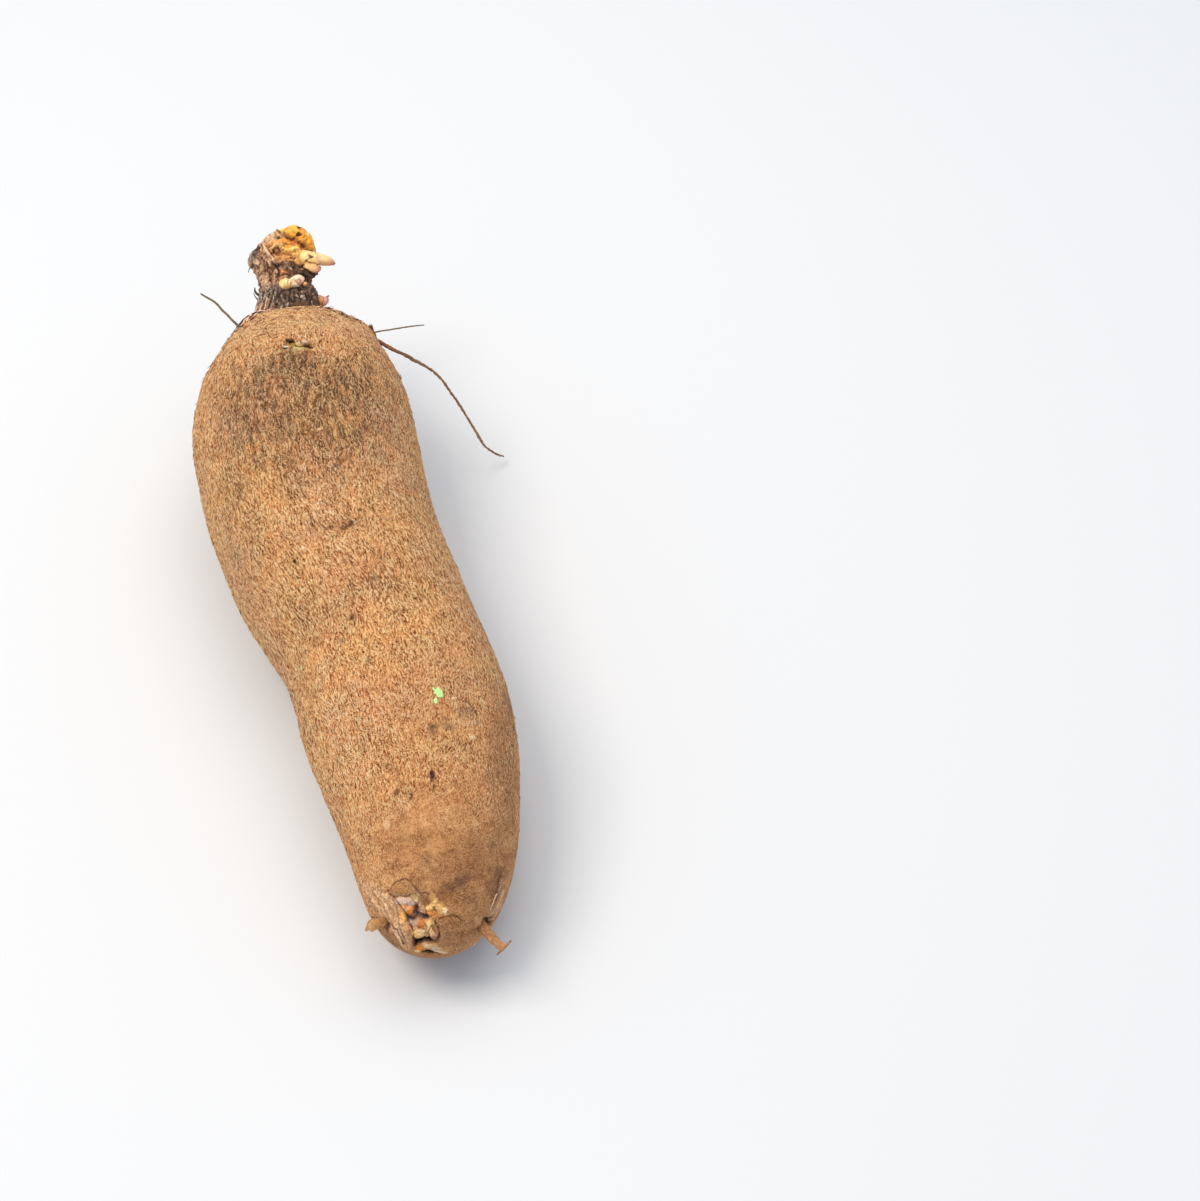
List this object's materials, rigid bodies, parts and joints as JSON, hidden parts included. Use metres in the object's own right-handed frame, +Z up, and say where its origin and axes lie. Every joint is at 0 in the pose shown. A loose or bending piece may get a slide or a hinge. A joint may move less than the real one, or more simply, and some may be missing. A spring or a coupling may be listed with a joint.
{
  "type": "yam",
  "caption": "Whole fresh yam lying on its side: long, slightly bent tuber with corky brown skin, a woody crown with pale shoots at the thick end, wiry rootlets and a wounded tip.",
  "frame": {"origin": "middle of the footprint of the whole yam, on the surface that it lies on", "axes": "+Y along the tuber towards the crown, -Y towards the tip, +X to the right seen from the tip, +Z up"},
  "size_m": [0.1376, 0.374, 0.0948],
  "materials": {
    "skin": "dry corky bark-like skin, matt, with fine lengthwise flecks",
    "crown_bark": "dry, ridged, fibrous grey-brown bark with orange broken flesh near the top",
    "shoot": "smooth waxy young shoot, satin",
    "bract": "thin pinkish brown scale, satin",
    "bud": "smooth waxy bud, satin",
    "bud_pink": "smooth bud with pink flush, satin",
    "rootlet": "dry wiry rootlet, matt"
  },
  "bodies": {
    "root": {"tuber": "skin", "crown": "crown_bark", "shoot_main": "shoot", "shoot_bract": "bract", "bud_front_left": "bud", "bud_front_right": "bud", "bud_front_small": "bud", "bud_base": "bud_pink", "root_left": "rootlet", "root_right_long": "rootlet", "root_right_fine": "rootlet", "root_stub_tip": "rootlet"}
  },
  "joints": []
}
